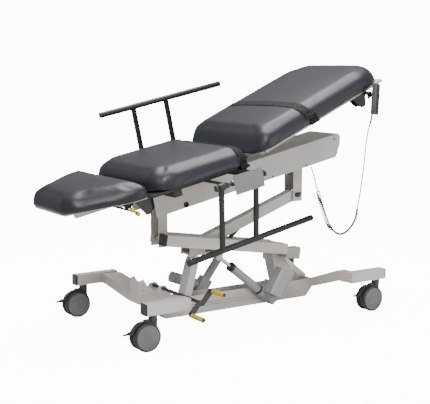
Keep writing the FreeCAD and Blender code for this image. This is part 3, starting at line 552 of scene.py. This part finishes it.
def strap(name, pad, body, base, low, width, slant, drop):
    """Webbing laid over a cushion from its near side to its far side, and tucked under the board.

    `low` is its edge towards the foot, `slant` how far its far end lies beyond the near one, and
    `drop` how far its ends hang below the cushion's sides.
    """
    inverse = base.inverted()
    shape = BVHTree.FromPolygons([inverse @ vertex.co for vertex in pad.data.vertices],
                                 [tuple(face.vertices) for face in pad.data.polygons])
    rows = []
    steps, first_turn, sweep = 90, -2, 184
    flatness, middle_height, reach, gap = 0.16, 22, 600, 1.2
    for step in range(steps + 1):
        turn = math.radians(first_turn + sweep * step / steps)
        row = []
        for column in range(STRAP_COLUMNS + 1):
            share = step / steps
            x = low + width * column / STRAP_COLUMNS + slant * (share - 0.5)
            centre = Vector((x, 0, middle_height))
            away = Vector((0, -math.cos(turn) * 1.0, math.sin(turn) * flatness)).normalized()
            hit = shape.ray_cast(centre + away * reach, -away)[0]
            row.append(hit + away * gap if hit else centre + away * HALF)
        rows.append(row)

    hang_steps, pull_in, lag, tuck = 4, 3, 1.5, Vector((0, 60, 0))
    near, far = [], []
    for k in range(1, hang_steps + 1):
        down = -drop * k / hang_steps
        near.insert(0, [point + Vector((0, lag - pull_in * k, down)) for point in rows[0]])
        far.append([point + Vector((0, pull_in * k - lag, down)) for point in rows[-1]])
    under = Vector((0, 0, -2))
    near.insert(0, [point + tuck + under for point in near[0]])
    far.append([point - tuck + under for point in far[-1]])
    rows = near + rows + far
    sheet_piece(name, rows, body, base)
    fold_and_buckle(name, rows[FOLDED_ROWS], body, base)


def fold_and_buckle(name, rows, body, base):
    """The strap's end folded back over itself on the near side, through a wire buckle."""
    lift, widening, half = 2.6, 2.0, STRAP_COLUMNS / 2
    out, wider = [], []
    for k, row in enumerate(rows):
        slope = math.radians(4 + 3 * k)
        away = Vector((0, -math.cos(slope), math.sin(slope)))
        out.append(away)
        wider.append([point + away * lift + Vector((widening * (column - half) / half, 0, 0))
                      for column, point in enumerate(row)])
    sheet_piece(f"{name}_fold", wider, body, base)
    first, last, side, clear, wire = 2, 7, Vector((4, 0, 0)), 3, 2.2
    loop = [wider[first][0] - side + out[first] * clear, wider[first][-1] + side + out[first] * clear,
            wider[last][-1] + side + out[last] * clear, wider[last][0] - side + out[last] * clear]
    loop.append(loop[0])
    cord(f"{name}_buckle", loop, wire, BLACK, body, base, smooth=False)


# ---------------------------------------------------------------- casters

WHEEL = 62.5


def wheel(name, body, matrix, side):
    """Soft tyre on a dished disc with a hub cap; `side` is the way its outer face looks."""
    inner, outer = 11.5, 33.5
    tyre = [(50, inner + 1), (57, inner + 0.5), (61, inner + 3), (WHEEL, inner + 7), (WHEEL, outer - 8),
            (61.4, outer - 4), (59, outer - 1.6), (56.6, outer - 0.7), (55.4, outer - 1.6), (55, outer - 4),
            (50, outer - 4)]
    disc = [(8, inner), (49.8, inner), (49.8, outer - 5), (54.4, outer - 4), (54.2, outer - 1.6),
            (53, outer - 0.6), (50, outer), (47.5, outer - 0.1), (46.6, outer - 0.7), (45.6, outer - 0.1),
            (30, outer + 0.4), (3, outer + 0.7)]
    for part, profile, material, slot in (("tyre", tyre, TYRE, "caster_tyre"),
                                          ("disc", disc, DISC_GREY, "caster_plastic")):
        item = lathe(f"{name}_{part}", [(radius, side * along) for radius, along in profile], material, body,
                     matrix)
    return item


def casters():
    for corner in ("foot_near", "foot_far", "head_near", "head_far"):
        matrix = placed(joint_at(f"roll_{corner}"), (1, 0, 0))
        body = f"wheels_{corner}"
        wheel(f"{corner}_outer", body, matrix, -1)
        item = wheel(f"{corner}_inner", body, matrix, 1)
        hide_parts(f"caster_{corner}_wheels")
        lathe(f"{corner}_axle", [(5.9, -11.4), (5.9, 11.4)], BRIGHT, body, matrix, 24)


# ---------------------------------------------------------------- actuator collars

def actuator_collars():
    """Seal, band and foot ring round the near actuator's tube; the seal closes on its rod."""
    tail, pin, tube_end = Vector((188, -72, 52)), Vector((-125, -72, 306)), 312
    tube, rod, bevel = 21.05, 10.4, 1.5
    matrix = placed(FLOOR @ tail, Y_AXIS, pin - tail)
    for name, start, length, radius, material, closing in (
            ("near_tube_seal", tube_end - 16, 18, 23.5, BLACK, rod),
            ("near_tube_band", tube_end - 34, 12, 22.6, ACTUATOR, tube),
            ("near_tube_foot", 92, 9, 23.0, BLACK, tube)):
        end = start + length
        profile = [(tube, start), (radius - 1, start), (radius, start + bevel), (radius, end - bevel),
                   (radius - 1, end), (closing, end)]
        lathe(name, profile, material, "near_motor", matrix, 40)


# ---------------------------------------------------------------- cords and cables

COIL_STEPS = 10
STRAIGHT_STEP = 9


def coil(points, radius, pitch, turns_from, turns_to):
    """Points of a coil wound round the part of a path between two shares of its length."""
    path = [Vector(point) for point in points]
    lengths = [0.0]
    for before, after in zip(path, path[1:]):
        lengths.append(lengths[-1] + (after - before).length)
    total = lengths[-1]

    def at(distance):
        for k in range(len(path) - 1):
            if distance <= lengths[k + 1] or k == len(path) - 2:
                share = (distance - lengths[k]) / (lengths[k + 1] - lengths[k])
                return path[k].lerp(path[k + 1], share), (path[k + 1] - path[k]).normalized()

    result, distance, turn = [], 0.0, 0.0
    while distance < total:
        point, along = at(distance)
        share = distance / total
        inside = turns_from < share < turns_to
        side = along.cross(Y_AXIS).normalized()
        lift = along.cross(side).normalized()
        size = radius if inside else 0.0
        result.append(point + (side * math.cos(turn) + lift * math.sin(turn)) * size)
        if inside:
            turn += 2 * math.pi / COIL_STEPS
            distance += pitch / COIL_STEPS
        else:
            distance += STRAIGHT_STEP
    result.append(path[-1])
    return result


def smooth_path(points, steps=10):
    """Catmull-Rom path through the points."""
    path = [Vector(point) for point in points]
    path = [2 * path[0] - path[1]] + path + [2 * path[-1] - path[-2]]
    result = []
    for k in range(1, len(path) - 2):
        a, b, c, d = path[k - 1:k + 3]
        for step in range(steps):
            u = step / steps
            result.append(0.5 * (2 * b + (c - a) * u + (2 * a - 5 * b + 4 * c - d) * u * u
                                 + (3 * b - a - 3 * c + d) * u ** 3))
    result.append(path[-2])
    return result


def handset_cable():
    """Cord that hangs from the hand control in a bight, coiled on the strand that rises to the box."""
    route = smooth_path(((569, -362, 966), (549, -352, 860), (536, -345, 700), (513, -335, 521),
                         (480, -330, 430), (410, -328, 398), (345, -327, 440), (312, -318, 520),
                         (300, -295, 600), (330, -220, 680), (392, -126, 706)))
    wound = coil(route, radius=8.0, pitch=9.5, turns_from=0.62, turns_to=0.80)
    item = cord("handset_cable", wound, 3.2, CORD_GREY, "table", FLOOR, smooth=False)
    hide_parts("handset_cord")
    cord("handset_strain_relief", ((570, -362, 972), (566, -361, 950), (562, -359, 925)), 4.6, CORD_GREY,
         "handset", FLOOR)
    sleeve = smooth_path(((512, -335, 515), (504, -333, 470), (478, -330, 428), (444, -329, 404),
                          (410, -328, 398), (378, -328, 412), (356, -327, 434)))
    cord("cable_sleeve", sleeve, 5.6, CORD_GREY, "table", FLOOR, smooth=False)


# ---------------------------------------------------------------- stage

# Direction of the camera's view, and how brightly it sees the floor and the world.
VIEW = (0.5407, 0.8294, -0.1405)
SEEN_WHITE = 12.0


def studio():
    """Pale floor that curves up behind, three soft lights and a world seen as white."""
    size, back, high, bend = 9.0, 7.0, 6.0, 2
    rows = [(-size, 0.0), (back - bend, 0.0)]
    for degrees in range(10, 91, 10):
        turn = math.radians(degrees)
        rows.append((back - bend + bend * math.sin(turn), bend - bend * math.cos(turn)))
    rows.append((back, high))
    view = Vector((VIEW[0], VIEW[1], 0)).normalized()
    side = Vector((view.y, -view.x, 0))
    points = [view * far + side * across + Vector((0, 0, up)) for far, up in rows for across in (-size, size)]
    made = Nodes("floor_white")
    seen = made.tree.nodes.new("ShaderNodeLightPath").outputs["Is Camera Ray"]
    made.feed(made.shader.inputs["Emission Color"], (1, 1, 1, 1))
    white = made.finish((0.6, 0.6, 0.6, 1), made.ramp(made.noise(3, 2), 0.7, 0.8),
                        Emission_Strength=made.math("MULTIPLY", seen, SEEN_WHITE))
    piece("floor", points, rings_to_faces(len(rows), 2, closed=False, capped=False), white, None)

    world = bpy.data.worlds.new("Studio")
    world.use_nodes = True
    backdrop = world.node_tree.nodes["Background"]
    backdrop.inputs["Color"].default_value = (0.97, 0.98, 1.0, 1)
    seen = world.node_tree.nodes.new("ShaderNodeLightPath").outputs["Is Camera Ray"]
    lit = world.node_tree.nodes.new("ShaderNodeMapRange")
    world.node_tree.links.new(seen, lit.inputs["Value"])
    lit.inputs["To Min"].default_value, lit.inputs["To Max"].default_value = 0.48, SEEN_WHITE
    world.node_tree.links.new(lit.outputs["Result"], backdrop.inputs["Strength"])
    bpy.context.scene.world = world

    target = FLOOR @ Vector((0, 0, 600))
    for name, place, width, power in (("key", (-2500, -2600, 3300), 1.6, 170),
                                      ("fill", (1700, -3600, 1300), 2.4, 62),
                                      ("top", (200, 300, 3700), 2.4, 250)):
        lamp = bpy.data.lights.new(name, "AREA")
        lamp.size, lamp.energy = width, power
        item = bpy.data.objects.new(name, lamp)
        item.location = FLOOR @ Vector(place)
        item.rotation_euler = (target - item.location).to_track_quat("-Z", "Y").to_euler()
        bpy.context.scene.collection.objects.link(item)


def camera():
    """Camera at the height of the raised backrest, off the near foot corner."""
    eye = FLOOR @ Vector((-2578, -3811, 1199.5))
    forward = Vector(VIEW).normalized()
    lens = bpy.data.cameras.new("Camera")
    lens.sensor_width = 36
    lens.lens = 80.26
    item = bpy.data.objects.new("Camera", lens)
    right = forward.cross(Vector((0, 0, 1))).normalized()
    turn = Matrix((right, right.cross(forward), -forward)).transposed().to_4x4()
    item.matrix_world = Matrix.Translation(eye) @ turn
    bpy.context.scene.collection.objects.link(item)
    bpy.context.scene.camera = item


# ---------------------------------------------------------------- build

dress_cad()
seat = seat_cushion()
foot_cushion()
back = back_cushion()
strap("seat_strap", seat, "table", TABLE @ Matrix.Translation((0, 0, DECK)),
      low=-186, width=48, slant=0, drop=26)
strap("back_strap", back, "back", BACK @ Matrix.Translation((0, 0, BACK_DECK)),
      low=245, width=48, slant=-70, drop=20)
casters()
actuator_collars()
handset_cable()
studio()
camera()
